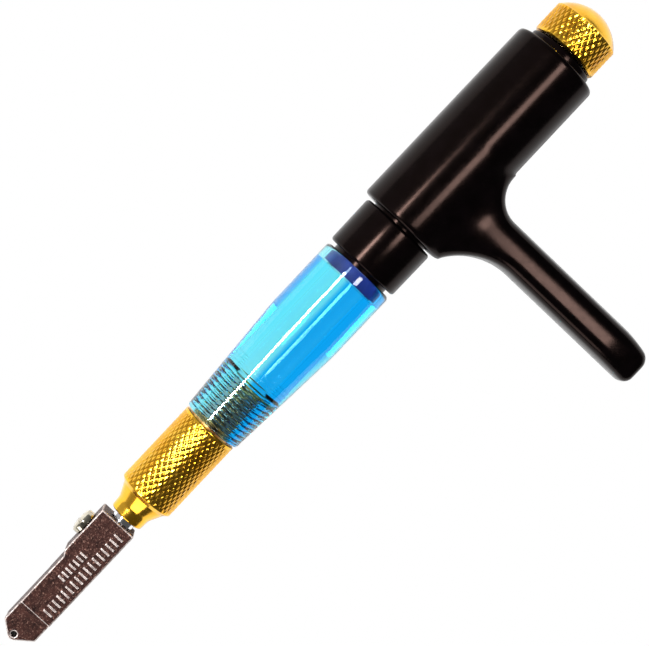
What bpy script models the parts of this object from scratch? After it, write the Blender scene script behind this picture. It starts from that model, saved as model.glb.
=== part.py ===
"""Oil-fed glass cutter with a saddle grip, lying on its side.

The tool lies along world X, wheel towards -X and filler cap towards +X, with the
saddle's arm towards -Y. The origin is under the middle of its box, on the table.

Every piece hangs on one empty at the wheel's lowest point, whose own axes are:
    X  from the tool's axis towards the saddle's arm
    Y  along the tool, from the wheel to the filler cap
    Z  up, out of the head's front face
"""

import math

import bmesh
import bpy

MM = 0.001

# Lengths along the tool, from the wheel to the dome of the cap.
WHEEL_PROUD = 0.15 * MM
HEAD_LENGTH = 28.45 * MM
STEM_SHOWING = 1.3 * MM
NOSE_LENGTH = 2.1 * MM
CONE_LENGTH = 2.6 * MM
FERRULE_CHAMFER = 0.7 * MM
KNURL_LENGTH = 16.6 * MM
FERRULE_SEAM = 0.4 * MM
BARREL_LENGTH = 38.0 * MM
COLLAR_SEAM = 0.7 * MM
COLLAR_LENGTH = 9.6 * MM
SADDLE_SEAM = 0.5 * MM
SADDLE_LENGTH = 39.9 * MM
FLANGE_LENGTH = 1.1 * MM
CAP_LENGTH = 9.15 * MM

# Clearances: between pieces that touch or screw together, and for the tiny fits in the head.
GAP = 0.3 * MM
FINE_GAP = 0.1 * MM

# How far a cutter runs past what it cuts.
PAST = 1.0 * MM

# Rounded edges, from a pin's end to a moulded rim.
FINE_EDGE = 0.1 * MM
SMALL_EDGE = 0.2 * MM
TURNED_EDGE = 0.3 * MM
MOULDED_EDGE = 0.5 * MM

# Cutting head, wheel and axle. The wheel trails behind the tool's axis, on the screw's side.
HEAD_WIDTH = 6.85 * MM
HEAD_OFFSET = 0.17 * MM
HEAD_THICKNESS = 6.2 * MM
PAD_THICKNESS = 0.6 * MM
PAD_HEIGHT = 18.6 * MM
PAD_SLOPE = 0.6 * MM
WHEEL_TRAIL = 0.45 * MM
TIP_THICKNESS = 4.8 * MM
TIP_ANGLE = math.radians(38)
TIP_RADIUS = 1.15 * MM
TIP_SHOULDER_FILLET = 0.3 * MM
FRONT_STEP_HEIGHT = 6.7 * MM
FRONT_STEP_SLOPE = 0.8 * MM
BACK_STEP_HEIGHT = 14.2 * MM
HEAD_EDGE = 0.25 * MM
WHEEL_RADIUS = 1.3 * MM
WHEEL_WIDTH = 0.7 * MM
WHEEL_ANGLE = math.radians(20)
AXLE_RADIUS = 0.45 * MM
OIL_HOLE_RADIUS = 0.5 * MM
SOCKET_DEPTH = 10.8 * MM
JOURNAL_RADIUS = 1.75 * MM
JOURNAL_FLAT = 0.8 * MM
SCREW_FROM_TOP = 4.4 * MM
SCREW_HEAD_RADIUS = 2.35 * MM
SCREW_HEAD_HEIGHT = 1.5 * MM
SCREW_CROWN_FILLET = 0.8 * MM
SCREW_RADIUS = 0.9 * MM
SCREW_SLOT_WIDTH = 0.6 * MM
SCREW_SLOT_DEPTH = 0.7 * MM

# Stem and valve.
STEM_RADIUS = 2.25 * MM
STEM_BORE = 0.9 * MM
STEM_UPPER_RADIUS = 1.9 * MM
STEM_FLANGE_WIDTH = 1.2 * MM
STEM_UPPER_LENGTH = 8.3 * MM
STEM_TRAVEL = 0.8 * MM
STEM_FLOOR = 1.1 * MM
OIL_PORT_RADIUS = 0.4 * MM
CHAMBER_RADIUS = 3.4 * MM
SPRING_WIRE = 0.25 * MM
SPRING_TURNS = 6
SPRING_POINTS = 12
SEAL_WIRE = 0.35 * MM
SEAT_LENGTH = 4.0 * MM
SEAT_HOLE = 1.1 * MM
POPPET_SHANK = 0.6 * MM
POPPET_HEAD = 1.9 * MM
POPPET_HEAD_LENGTH = 1.4 * MM
POPPET_THREAD = 2.0 * MM

# Ferrule and barrel.
NOSE_RADIUS = 3.3 * MM
NOSE_FLARE = 0.1 * MM
NOSE_FILLET = 1.5 * MM
CONE_RADIUS = 4.7 * MM
FERRULE_RADIUS = 5.5 * MM
SPIGOT_RADIUS = 4.3 * MM
SPIGOT_LENGTH = 10.4 * MM
BARREL_FOOT_RADIUS = 5.77 * MM
BARREL_RADIUS = 7.27 * MM
BARREL_TAPER_LENGTH = 23.6 * MM
BARREL_TAPER_FILLET = 50.0 * MM
BARREL_SHOULDER_FILLET = 0.9 * MM
RESERVOIR_RADIUS = 4.0 * MM
NECK_RADIUS = 5.0 * MM

# Sleeve, collar and saddle. The sleeve's foot sits in a ring-shaped socket in the barrel's shoulder.
SLEEVE_RADIUS = 5.9 * MM
SLEEVE_FOOT = 2.6 * MM
FLANGE_RADIUS = 6.45 * MM
COLLAR_RADIUS = 7.45 * MM
SADDLE_RADIUS = 8.6 * MM
SADDLE_DRAFT = 0.1 * MM
ARM_REACH = 48.45 * MM
ARM_RISE = 6.5 * MM
ARM_WIDTH = 7.7 * MM
ARM_DEPTH = 12.0 * MM
ARM_UPPER_FILLET = 5.85 * MM
ARM_LOWER_START = 19.9 * MM
ARM_CORNER = 1.4 * MM
ARM_END_SLOPE = 6.0 * MM
ARM_END_DROP = 0.9 * MM
ARM_END_FILLET = 7.0 * MM
ARM_EDGE = 1.6 * MM
ARM_ARC_STEPS = 8

# Filler cap.
CAP_RADIUS = 6.6 * MM
CAP_RIM = 0.1 * MM
DOME_RADIUS = 8.05 * MM
DOME_STEPS = 6
CAP_THREAD_LENGTH = 3.9 * MM
GASKET_THICKNESS = 0.8 * MM
GASKET_LIP = 1.0 * MM

# A piece that is turned about the head's thickness keeps its own axes.
NO_TURN = (0, 0, 0.0)

# Facets around the large, the middle and the small turned pieces.
MANY = 36
SOME = 24
FEW = 16

# Heights along the tool, worked out from the lengths.
AXLE_AT = WHEEL_RADIUS
HEAD_TOP = WHEEL_PROUD + HEAD_LENGTH
NOSE_AT = HEAD_TOP + STEM_SHOWING
CONE_AT = NOSE_AT + NOSE_LENGTH
KNURL_AT = CONE_AT + CONE_LENGTH + FERRULE_CHAMFER
FERRULE_TOP = KNURL_AT + KNURL_LENGTH
BARREL_AT = FERRULE_TOP + FERRULE_SEAM
BARREL_SHOULDER = BARREL_AT + BARREL_LENGTH
COLLAR_AT = BARREL_SHOULDER + COLLAR_SEAM
COLLAR_TOP = COLLAR_AT + COLLAR_LENGTH
SADDLE_AT = COLLAR_TOP + SADDLE_SEAM
SADDLE_TOP = SADDLE_AT + SADDLE_LENGTH
FLANGE_AT = SADDLE_TOP + GAP
FLANGE_TOP = FLANGE_AT + FLANGE_LENGTH
CAP_AT = FLANGE_TOP + GAP
NECK_TOP = CAP_AT + CAP_THREAD_LENGTH
GASKET_AT = NECK_TOP + GAP
CAP_CEILING = GASKET_AT + GASKET_THICKNESS + GAP
CAP_TOP = CAP_AT + CAP_LENGTH
SCREW_AT = HEAD_TOP - SCREW_FROM_TOP
SOCKET_FLOOR = HEAD_TOP - SOCKET_DEPTH
SPIGOT_TOP = FERRULE_TOP + SPIGOT_LENGTH
SLEEVE_AT = BARREL_SHOULDER - SLEEVE_FOOT
SEAL_GROOVE_AT = CONE_AT + CONE_LENGTH - GAP
SEAL_GROOVE_TOP = SEAL_GROOVE_AT + 2 * SEAL_WIRE + 2 * GAP
CHAMBER_FLOOR = SEAL_GROOVE_TOP + STEM_FLOOR
STEM_FLANGE_AT = CHAMBER_FLOOR + GAP
STEM_FLANGE_TOP = STEM_FLANGE_AT + STEM_FLANGE_WIDTH
STEM_TOP = STEM_FLANGE_TOP + STEM_UPPER_LENGTH
SEAT_AT = STEM_TOP + STEM_TRAVEL + 2 * GAP
SEAT_TOP = SEAT_AT + SEAT_LENGTH


def clear_scene():
    """Take every object out of the scene."""
    for thing in list(bpy.data.objects):
        bpy.data.objects.remove(thing, do_unlink=True)


def new_collection(name):
    """A collection of this name under the scene."""
    group = bpy.data.collections.new(name)
    bpy.context.scene.collection.children.link(group)
    return group


def material(name, colour, roughness, metallic=0.0, transmission=0.0):
    """A Principled material of one colour."""
    made = bpy.data.materials.new(name)
    made.use_nodes = True
    shader = made.node_tree.nodes["Principled BSDF"]
    shader.inputs["Base Color"].default_value = (*colour, 1.0)
    shader.inputs["Roughness"].default_value = roughness
    shader.inputs["Metallic"].default_value = metallic
    shader.inputs["Transmission Weight"].default_value = transmission
    return made


def rounded(corners, closed=True, arc_points=4):
    """The corners (x, y, fillet radius) of an outline, each fillet drawn as an arc."""
    points = []
    count = len(corners)
    for i, (x, y, radius) in enumerate(corners):
        at_end = not closed and i in (0, count - 1)
        if radius == 0 or at_end:
            points.append((x, y))
            continue
        before = corners[i - 1]
        after = corners[(i + 1) % count]
        back = math.atan2(before[1] - y, before[0] - x)
        ahead = math.atan2(after[1] - y, after[0] - x)
        opening = (ahead - back + math.pi) % (2 * math.pi) - math.pi
        middle = back + opening / 2
        reach = radius / math.sin(abs(opening) / 2)
        centre = (x + reach * math.cos(middle), y + reach * math.sin(middle))
        turn = math.copysign(math.pi - abs(opening), opening)
        start = middle + math.pi + turn / 2
        for k in range(arc_points + 1):
            angle = start - turn * k / arc_points
            points.append((centre[0] + radius * math.cos(angle), centre[1] + radius * math.sin(angle)))
    return points


def place(thing, group, parent, at=(0, 0, 0), turn=(0, 0, 0)):
    """Put an object in a collection, under a parent, at a place in the parent's axes."""
    group.objects.link(thing)
    thing.parent = parent
    thing.location = at
    thing.rotation_euler = turn
    if group.name == "cutters":
        thing.hide_render = True
        thing.display_type = "WIRE"
    return thing


def turned(name, profile, at=0.0, steps=MANY, closed=True, where=None, turn=None, group=None):
    """A turned solid. The profile is (radius, height) down the outer side, heights along the tool."""
    mesh = bpy.data.meshes.new(name)
    edges = [(i, i + 1) for i in range(len(profile) - 1)]
    if closed:
        edges.append((len(profile) - 1, 0))
    mesh.from_pydata([(r, 0, h - at) for r, h in profile], edges, [])
    thing = bpy.data.objects.new(name, mesh)
    screw = thing.modifiers.new("turn", "SCREW")
    screw.axis = "Z"
    screw.steps = steps
    screw.render_steps = steps
    screw.use_merge_vertices = True
    screw.merge_threshold = 0.00001
    screw.use_smooth_shade = True
    upright = (math.radians(-90), 0, 0)
    return place(thing, group or GROUP, FRAME, where or (0, at, 0), turn or upright)


def cutter_rod(name, radius, low, high, steps=SOME, where=None, turn=None):
    """A round cutter between two heights."""
    profile = [(0, high), (radius, high), (radius, low), (0, low)]
    return turned(name, profile, 0.0, steps, closed=False, where=where, turn=turn, group=CUTTERS)


def plate(name, outline, half_depth, group, at=(0, 0, 0), turn=(0, 0, 0)):
    """A flat outline with thickness, as a closed mesh."""
    curve = bpy.data.curves.new(name, "CURVE")
    curve.dimensions = "2D"
    curve.fill_mode = "BOTH"
    curve.extrude = half_depth
    spline = curve.splines.new("POLY")
    spline.points.add(len(outline) - 1)
    for point, (x, y) in zip(spline.points, outline):
        point.co = (x, y, 0, 1)
    spline.use_cyclic_u = True
    drawn = bpy.data.objects.new(name + "_outline", curve)
    bpy.context.scene.collection.objects.link(drawn)
    bpy.context.view_layer.update()
    graph = bpy.context.evaluated_depsgraph_get()
    mesh = bpy.data.meshes.new_from_object(drawn.evaluated_get(graph))
    bpy.data.objects.remove(drawn, do_unlink=True)
    weld = bmesh.new()
    weld.from_mesh(mesh)
    bmesh.ops.remove_doubles(weld, verts=weld.verts, dist=0.000001)
    bmesh.ops.recalc_face_normals(weld, faces=weld.faces)
    weld.to_mesh(mesh)
    weld.free()
    return place(bpy.data.objects.new(name, mesh), group, FRAME, at, turn)


def block(name, low, high):
    """A box cutter between two corners."""
    mesh = bpy.data.meshes.new(name)
    shape = bmesh.new()
    bmesh.ops.create_cube(shape, size=1)
    sizes = [b - a for a, b in zip(low, high)]
    middle = [(a + b) / 2 for a, b in zip(low, high)]
    bmesh.ops.scale(shape, vec=sizes, verts=shape.verts)
    shape.to_mesh(mesh)
    shape.free()
    return place(bpy.data.objects.new(name, mesh), CUTTERS, FRAME, middle)


def bevelled(thing, width, segments=2, angle=35):
    """Round the edges sharper than an angle."""
    bevel = thing.modifiers.new("edges", "BEVEL")
    bevel.width = width
    bevel.segments = segments
    bevel.limit_method = "ANGLE"
    bevel.angle_limit = math.radians(angle)


def cut(thing, tool, operation="DIFFERENCE"):
    """Cut a piece with a cutter, or join one to it."""
    step = thing.modifiers.new(tool.name, "BOOLEAN")
    step.operation = operation
    step.solver = "EXACT"
    step.object = tool


def finish(thing, made_of):
    """Give a piece its material and smooth shading."""
    thing.data.materials.append(made_of)
    if thing.type == "MESH" and thing.data.polygons:
        thing.data.shade_smooth()
        thing.data.set_sharp_from_angle(angle=math.radians(35))
    return thing


def ring_profile(middle, height, radius, points=8):
    """The circle that an O-ring's section makes."""
    angles = [-2 * math.pi * k / points for k in range(points)]
    return [(middle + radius * math.cos(a), height + radius * math.sin(a)) for a in angles]


def step_cutter(name, side, low, high, slope):
    """A cutter for the room outside a face that steps from side low down to side high further out."""
    sideways = (math.radians(90), 0, math.radians(90))
    near, far = side
    beyond = far + math.copysign(PAST, far)
    run = slope / abs(far - near)
    outline = [
        (-PAST, near),
        (low, near),
        (low + run * abs(beyond - near), beyond),
        (-PAST, beyond),
    ]
    if far < 0:
        outline.reverse()
    return plate(name, outline, high, CUTTERS, turn=sideways)


def make_head(cast):
    """The cutting head: a flat block that ends in two cheeks, with a pad on one side for the screw."""
    left = -HEAD_OFFSET - HEAD_WIDTH / 2
    right = -HEAD_OFFSET + HEAD_WIDTH / 2
    apex = AXLE_AT - TIP_RADIUS / math.cos(TIP_ANGLE)
    rise = math.tan(TIP_ANGLE)
    outline = rounded([
        (left - PAD_THICKNESS, HEAD_TOP, 0),
        (left - PAD_THICKNESS, PAD_HEIGHT, 0),
        (left, PAD_HEIGHT - PAD_SLOPE, 0),
        (left, apex + rise * (-WHEEL_TRAIL - left), TIP_SHOULDER_FILLET),
        (-WHEEL_TRAIL, apex, TIP_RADIUS),
        (right, apex + rise * (right + WHEEL_TRAIL), TIP_SHOULDER_FILLET),
        (right, HEAD_TOP, 0),
    ])
    head = plate("head_body", outline, HEAD_THICKNESS / 2, GROUP)

    front = HEAD_THICKNESS / 2
    cheek = TIP_THICKNESS / 2
    half_slope = FRONT_STEP_SLOPE / 2
    front_low = FRONT_STEP_HEIGHT - FRONT_STEP_SLOPE
    back_low = BACK_STEP_HEIGHT - half_slope
    cut(head, step_cutter("front_step_cut", (cheek, front), front_low, HEAD_WIDTH, FRONT_STEP_SLOPE))
    cut(head, step_cutter("back_step_cut", (-cheek, -front), back_low, HEAD_WIDTH, FRONT_STEP_SLOPE))
    bevelled(head, HEAD_EDGE, segments=1)

    slot = WHEEL_WIDTH / 2 + FINE_GAP
    slot_top = AXLE_AT + WHEEL_RADIUS + 2 * FINE_GAP
    cut(head, block("wheel_slot_cut", (-2 * HEAD_WIDTH, -PAST, -slot), (2 * HEAD_WIDTH, slot_top, slot)))
    axle_hole = cutter_rod(
        "axle_hole_cut", AXLE_RADIUS + FINE_GAP, -front - PAST, front + PAST,
        steps=FEW, where=(-WHEEL_TRAIL, AXLE_AT, 0), turn=(0, 0, 0),
    )
    cut(head, axle_hole)
    oil_hole = cutter_rod(
        "oil_hole_cut", OIL_HOLE_RADIUS, slot_top - PAST / 2, SOCKET_FLOOR + PAST / 2, steps=FEW
    )
    cut(head, oil_hole)
    cut(head, cutter_rod("socket_cut", JOURNAL_RADIUS + GAP, SOCKET_FLOOR, HEAD_TOP + PAST))
    screw_hole = cutter_rod(
        "screw_hole_cut", SCREW_RADIUS + FINE_GAP, 0, HEAD_WIDTH,
        steps=FEW, where=(0, SCREW_AT, 0), turn=(0, math.radians(-90), 0),
    )
    cut(head, screw_hole)
    return finish(head, cast)


def make_wheel(carbide, steel):
    """The cutting wheel, with its edge ground from both sides, and the axle it turns on."""
    side = WHEEL_WIDTH / 2
    bore = AXLE_RADIUS + FINE_GAP
    shoulder = WHEEL_RADIUS - side * math.tan(WHEEL_ANGLE)
    profile = [(bore, side), (shoulder, side), (WHEEL_RADIUS, 0), (shoulder, -side), (bore, -side)]
    across = (-WHEEL_TRAIL, AXLE_AT, 0)
    finish(turned("cutting_wheel", profile, steps=SOME, where=across, turn=NO_TURN), carbide)

    half = TIP_THICKNESS / 2 - FINE_GAP
    rod = rounded([
        (0, half, 0),
        (AXLE_RADIUS, half, FINE_EDGE),
        (AXLE_RADIUS, -half, FINE_EDGE),
        (0, -half, 0),
    ], closed=False, arc_points=1)
    finish(turned("wheel_axle", rod, steps=FEW, closed=False, where=across, turn=NO_TURN), steel)


def make_head_screw(nickel):
    """The pan-headed screw that holds the head on the stem, standing out of the head's side."""
    seat = HEAD_OFFSET + HEAD_WIDTH / 2 + PAD_THICKNESS + GAP
    crown = seat + SCREW_HEAD_HEIGHT
    tip = JOURNAL_FLAT + GAP
    profile = rounded([
        (0, crown, 0),
        (SCREW_HEAD_RADIUS, crown, SCREW_CROWN_FILLET),
        (SCREW_HEAD_RADIUS, seat, 0),
        (SCREW_RADIUS, seat, 0),
        (SCREW_RADIUS, tip, 0),
        (0, tip, 0),
    ], closed=False)
    outward = (0, math.radians(-90), 0)
    screw = turned("head_screw", profile, steps=SOME, closed=False, where=(0, SCREW_AT, 0), turn=outward)
    slot = SCREW_SLOT_WIDTH / 2
    low = (-crown - PAST, SCREW_AT - slot, -SCREW_HEAD_RADIUS - PAST)
    high = (-crown + SCREW_SLOT_DEPTH, SCREW_AT + slot, SCREW_HEAD_RADIUS + PAST)
    cut(screw, block("screw_slot_cut", low, high))
    finish(screw, nickel)


def make_stem(chrome):
    """The hollow stem, sprung in the ferrule, with a flat on its journal for the head screw."""
    flange = CHAMBER_RADIUS - GAP
    profile = rounded([
        (STEM_BORE, STEM_TOP, 0),
        (STEM_UPPER_RADIUS, STEM_TOP, SMALL_EDGE),
        (STEM_UPPER_RADIUS, STEM_FLANGE_TOP, 0),
        (flange, STEM_FLANGE_TOP, 0),
        (flange, STEM_FLANGE_AT, 0),
        (STEM_RADIUS, STEM_FLANGE_AT, 0),
        (STEM_RADIUS, HEAD_TOP + GAP, 0),
        (JOURNAL_RADIUS, HEAD_TOP + GAP, 0),
        (JOURNAL_RADIUS, SOCKET_FLOOR + GAP, SMALL_EDGE),
        (STEM_BORE, SOCKET_FLOOR + GAP, 0),
    ], arc_points=1)
    stem = turned("stem", profile, SOCKET_FLOOR, steps=SOME)
    reach = SCREW_RADIUS + 2 * GAP
    low = (-2 * JOURNAL_RADIUS, SCREW_AT - reach, -2 * JOURNAL_RADIUS)
    high = (-JOURNAL_FLAT, SCREW_AT + reach, 2 * JOURNAL_RADIUS)
    cut(stem, block("journal_flat_cut", low, high))
    port_at = STEM_FLANGE_TOP + 2 * OIL_PORT_RADIUS
    port = cutter_rod(
        "oil_port_cut", OIL_PORT_RADIUS, -2 * STEM_RADIUS, 2 * STEM_RADIUS,
        steps=FEW, where=(0, port_at, 0), turn=(0, math.radians(90), 0),
    )
    cut(stem, port)
    finish(stem, chrome)


def make_valve(brass, steel, rubber):
    """The return spring, the seat that it pushes on, the poppet that the stem lifts, and their seals."""
    inner = STEM_UPPER_RADIUS + GAP + SPRING_WIRE
    low = STEM_FLANGE_TOP + GAP + SPRING_WIRE
    high = SEAT_AT - GAP - SPRING_WIRE
    count = SPRING_TURNS * SPRING_POINTS
    curve = bpy.data.curves.new("return_spring", "CURVE")
    curve.dimensions = "3D"
    curve.bevel_depth = SPRING_WIRE
    curve.bevel_resolution = 1
    curve.use_fill_caps = True
    spline = curve.splines.new("POLY")
    spline.points.add(count)
    for k, point in enumerate(spline.points):
        angle = 2 * math.pi * k / SPRING_POINTS
        height = (high - low) * k / count
        point.co = (inner * math.cos(angle), inner * math.sin(angle), height, 1)
    spring = bpy.data.objects.new("return_spring", curve)
    upright = (math.radians(-90), 0, 0)
    finish(place(spring, GROUP, FRAME, (0, low, 0), upright), steel)

    outer = CHAMBER_RADIUS - GAP
    throat = SEAT_HOLE + (SEAT_TOP - SEAT_AT) / 4
    seat = [
        (throat, SEAT_TOP),
        (outer, SEAT_TOP),
        (outer, SEAT_AT),
        (SEAT_HOLE, SEAT_AT),
        (SEAT_HOLE, SEAT_TOP - SEAT_LENGTH / 4),
    ]
    finish(turned("valve_seat", seat, SEAT_AT, steps=SOME), brass)

    neck = POPPET_SHANK
    root = STEM_TOP - POPPET_THREAD
    head_at = SEAT_TOP + 2 * GAP + 2 * SEAL_WIRE
    poppet = rounded([
        (0, head_at + POPPET_HEAD_LENGTH, 0),
        (POPPET_HEAD, head_at + POPPET_HEAD_LENGTH, TURNED_EDGE),
        (POPPET_HEAD, head_at, 0),
        (neck, head_at, 0),
        (neck, root, 0),
        (0, root, 0),
    ], closed=False, arc_points=2)
    finish(turned("valve_poppet", poppet, root, steps=FEW, closed=False), steel)
    poppet_seal = ring_profile(neck + GAP + SEAL_WIRE, SEAT_TOP + GAP + SEAL_WIRE, SEAL_WIRE)
    finish(turned("poppet_seal", poppet_seal, SEAT_TOP, steps=FEW), rubber)

    stem_seal = ring_profile(STEM_RADIUS + GAP + SEAL_WIRE, SEAL_GROOVE_AT + GAP + SEAL_WIRE, SEAL_WIRE)
    finish(turned("stem_seal", stem_seal, SEAL_GROOVE_AT, steps=FEW), rubber)


def make_ferrule(brass):
    """The brass nose piece: a cone, a knurled grip and a threaded spigot for the barrel."""
    passage = STEM_RADIUS + GAP
    groove = STEM_RADIUS + 2 * GAP + 2 * SEAL_WIRE
    cone_top = CONE_AT + CONE_LENGTH
    profile = rounded([
        (CHAMBER_RADIUS, SPIGOT_TOP, 0),
        (SPIGOT_RADIUS, SPIGOT_TOP, TURNED_EDGE),
        (SPIGOT_RADIUS, FERRULE_TOP, 0),
        (FERRULE_RADIUS, FERRULE_TOP, TURNED_EDGE),
        (FERRULE_RADIUS, KNURL_AT, 0),
        (CONE_RADIUS, cone_top, 0),
        (NOSE_RADIUS + NOSE_FLARE, CONE_AT, NOSE_FILLET),
        (NOSE_RADIUS, NOSE_AT, TURNED_EDGE),
        (passage, NOSE_AT, 0),
        (passage, SEAL_GROOVE_AT, 0),
        (groove, SEAL_GROOVE_AT, 0),
        (groove, SEAL_GROOVE_TOP, 0),
        (passage, SEAL_GROOVE_TOP, 0),
        (passage, CHAMBER_FLOOR, 0),
        (CHAMBER_RADIUS, CHAMBER_FLOOR, 0),
    ], arc_points=2)
    finish(turned("ferrule", profile, NOSE_AT), brass)


def make_barrel(acrylic):
    """The clear barrel: a tapered body, a threaded socket, the oil reservoir and a long neck."""
    thread = SPIGOT_RADIUS + GAP
    socket_top = SPIGOT_TOP + 2 * GAP
    step = thread - RESERVOIR_RADIUS
    profile = rounded([
        (NECK_RADIUS, NECK_TOP, SMALL_EDGE),
        (NECK_RADIUS, SLEEVE_AT - GAP, 0),
        (SLEEVE_RADIUS + GAP, SLEEVE_AT - GAP, 0),
        (SLEEVE_RADIUS + GAP, BARREL_SHOULDER, 0),
        (BARREL_RADIUS, BARREL_SHOULDER, BARREL_SHOULDER_FILLET),
        (BARREL_RADIUS, BARREL_AT + BARREL_TAPER_LENGTH, BARREL_TAPER_FILLET),
        (BARREL_FOOT_RADIUS, BARREL_AT, TURNED_EDGE),
        (thread, BARREL_AT, 0),
        (thread, socket_top, 0),
        (RESERVOIR_RADIUS, socket_top + step, 0),
        (RESERVOIR_RADIUS, NECK_TOP, 0),
    ], arc_points=3)
    finish(turned("barrel", profile, BARREL_AT), acrylic)


def make_grip_sleeve(black):
    """The black sleeve round the barrel's neck, which the collar and the saddle fit over."""
    bore = NECK_RADIUS + GAP
    profile = rounded([
        (bore, FLANGE_TOP, 0),
        (FLANGE_RADIUS, FLANGE_TOP, TURNED_EDGE),
        (FLANGE_RADIUS, FLANGE_AT, 0),
        (SLEEVE_RADIUS, FLANGE_AT, 0),
        (SLEEVE_RADIUS, SLEEVE_AT, 0),
        (bore, SLEEVE_AT, 0),
    ], arc_points=3)
    finish(turned("grip_sleeve", profile, FLANGE_AT), black)


def make_lock_collar(black):
    """The collar that is screwed up against the saddle to hold it."""
    bore = SLEEVE_RADIUS + GAP
    profile = rounded([
        (bore, COLLAR_TOP, 0),
        (COLLAR_RADIUS, COLLAR_TOP, MOULDED_EDGE),
        (COLLAR_RADIUS, COLLAR_AT, MOULDED_EDGE),
        (bore, COLLAR_AT, 0),
    ], arc_points=3)
    finish(turned("lock_collar", profile, COLLAR_AT), black)


def make_saddle(black):
    """The saddle: a tube over the sleeve, and an arm that the hand rests on."""
    top_radius = SADDLE_RADIUS - SADDLE_DRAFT
    tube = rounded([
        (0, SADDLE_TOP, 0),
        (top_radius, SADDLE_TOP, MOULDED_EDGE),
        (SADDLE_RADIUS, SADDLE_AT, MOULDED_EDGE),
        (0, SADDLE_AT, 0),
    ], closed=False, arc_points=3)
    saddle = turned("saddle", tube, SADDLE_AT, closed=False)

    low = SADDLE_AT + ARM_RISE
    high = low + ARM_WIDTH
    root = SADDLE_RADIUS - SADDLE_DRAFT
    run = ARM_LOWER_START - SADDLE_RADIUS
    lower_fillet = (run ** 2 + ARM_RISE ** 2) / (2 * ARM_RISE)
    sweep = math.asin(run / lower_fillet)
    arc = []
    for k in range(ARM_ARC_STEPS + 1):
        angle = sweep * k / ARM_ARC_STEPS
        arc.append((
            ARM_LOWER_START - lower_fillet * math.sin(angle),
            low - lower_fillet * (1 - math.cos(angle)),
        ))
    outline = rounded([
        (0, SADDLE_AT + ARM_UPPER_FILLET + ARM_RISE + ARM_WIDTH, 0),
        (0, SADDLE_AT, 0),
        *[(x, y, 0) for x, y in reversed(arc)],
        (ARM_REACH, low, ARM_CORNER),
        (ARM_REACH, high - ARM_END_DROP, ARM_CORNER),
        (ARM_REACH - ARM_END_SLOPE, high, ARM_END_FILLET),
        (root, high, ARM_UPPER_FILLET),
        (root, high + ARM_UPPER_FILLET, 0),
    ], arc_points=5)
    arm = plate("saddle_arm", outline, ARM_DEPTH / 2, CUTTERS)
    bevelled(arm, ARM_EDGE, segments=2, angle=60)
    cut(saddle, arm, "UNION")
    bore = cutter_rod(
        "saddle_bore_cut", SLEEVE_RADIUS + GAP, SADDLE_AT - PAST, SADDLE_TOP + PAST, steps=MANY
    )
    cut(saddle, bore)
    finish(saddle, black)


def make_filler_cap(brass, rubber):
    """The domed brass cap that closes the reservoir, and the gasket under its ceiling."""
    centre = CAP_TOP - DOME_RADIUS
    edge = CAP_RADIUS - CAP_RIM
    sweep = math.asin(edge / DOME_RADIUS)
    dome = []
    for k in range(DOME_STEPS + 1):
        angle = sweep * k / DOME_STEPS
        dome.append((DOME_RADIUS * math.sin(angle), centre + DOME_RADIUS * math.cos(angle)))
    skirt_top = dome[-1][1] - CAP_RIM
    thread = NECK_RADIUS + GAP
    profile = dome + [
        (CAP_RADIUS, skirt_top),
        (CAP_RADIUS, CAP_AT + 2 * CAP_RIM),
        (CAP_RADIUS - 2 * CAP_RIM, CAP_AT),
        (thread, CAP_AT),
        (thread, CAP_CEILING),
        (0, CAP_CEILING),
    ]
    finish(turned("filler_cap", profile, CAP_AT, closed=False), brass)

    gasket = [
        (RESERVOIR_RADIUS - GASKET_LIP, CAP_CEILING - GAP),
        (NECK_RADIUS, CAP_CEILING - GAP),
        (NECK_RADIUS, GASKET_AT),
        (RESERVOIR_RADIUS - GASKET_LIP, GASKET_AT),
    ]
    finish(turned("cap_gasket", gasket, GASKET_AT, steps=SOME), rubber)


clear_scene()
GROUP = new_collection("glass_cutter")
CUTTERS = new_collection("cutters")

FRAME = bpy.data.objects.new("tool_frame", None)
GROUP.objects.link(FRAME)
ACROSS = (ARM_REACH - SADDLE_RADIUS) / 2
FRAME.location = (-CAP_TOP / 2, ACROSS, SADDLE_RADIUS)
FRAME.rotation_euler = (0, 0, math.radians(-90))

BRASS = material("brass", (0.80, 0.52, 0.14), 0.25, metallic=1.0)
CAST = material("cast_steel", (0.16, 0.09, 0.08), 0.45, metallic=0.6)
CHROME = material("chrome", (0.8, 0.8, 0.82), 0.1, metallic=1.0)
NICKEL = material("nickel", (0.72, 0.70, 0.62), 0.2, metallic=1.0)
STEEL = material("steel", (0.5, 0.5, 0.5), 0.3, metallic=1.0)
CARBIDE = material("carbide", (0.25, 0.25, 0.26), 0.3, metallic=0.9)
RUBBER = material("rubber", (0.02, 0.02, 0.02), 0.7)
BLACK = material("black_plastic", (0.02, 0.02, 0.022), 0.35)
ACRYLIC = material("blue_acrylic", (0.12, 0.45, 0.80), 0.05, transmission=0.9)

make_head(CAST)
make_wheel(CARBIDE, STEEL)
make_head_screw(NICKEL)
make_stem(CHROME)
make_valve(BRASS, STEEL, RUBBER)
make_ferrule(BRASS)
make_barrel(ACRYLIC)
make_grip_sleeve(BLACK)
make_lock_collar(BLACK)
make_saddle(BLACK)
make_filler_cap(BRASS, RUBBER)
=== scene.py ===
# %% [markdown]
# # A glass cutter, finished around its frame
#
# The frame holds the exact solids of an oil-fed glass cutter that lies on its side. This lesson
# gives the tool its visible surfaces: cut knurls, a thread, clear blue plastic, cast steel and
# moulded black plastic. Each shape is worked out with numpy as whole arrays, because a lathe, a
# knurling wheel and a mould all follow formulas.

# %% Load the frame
import math

import bmesh
import bpy
import numpy as np
from mathutils import Matrix, Vector


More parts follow.
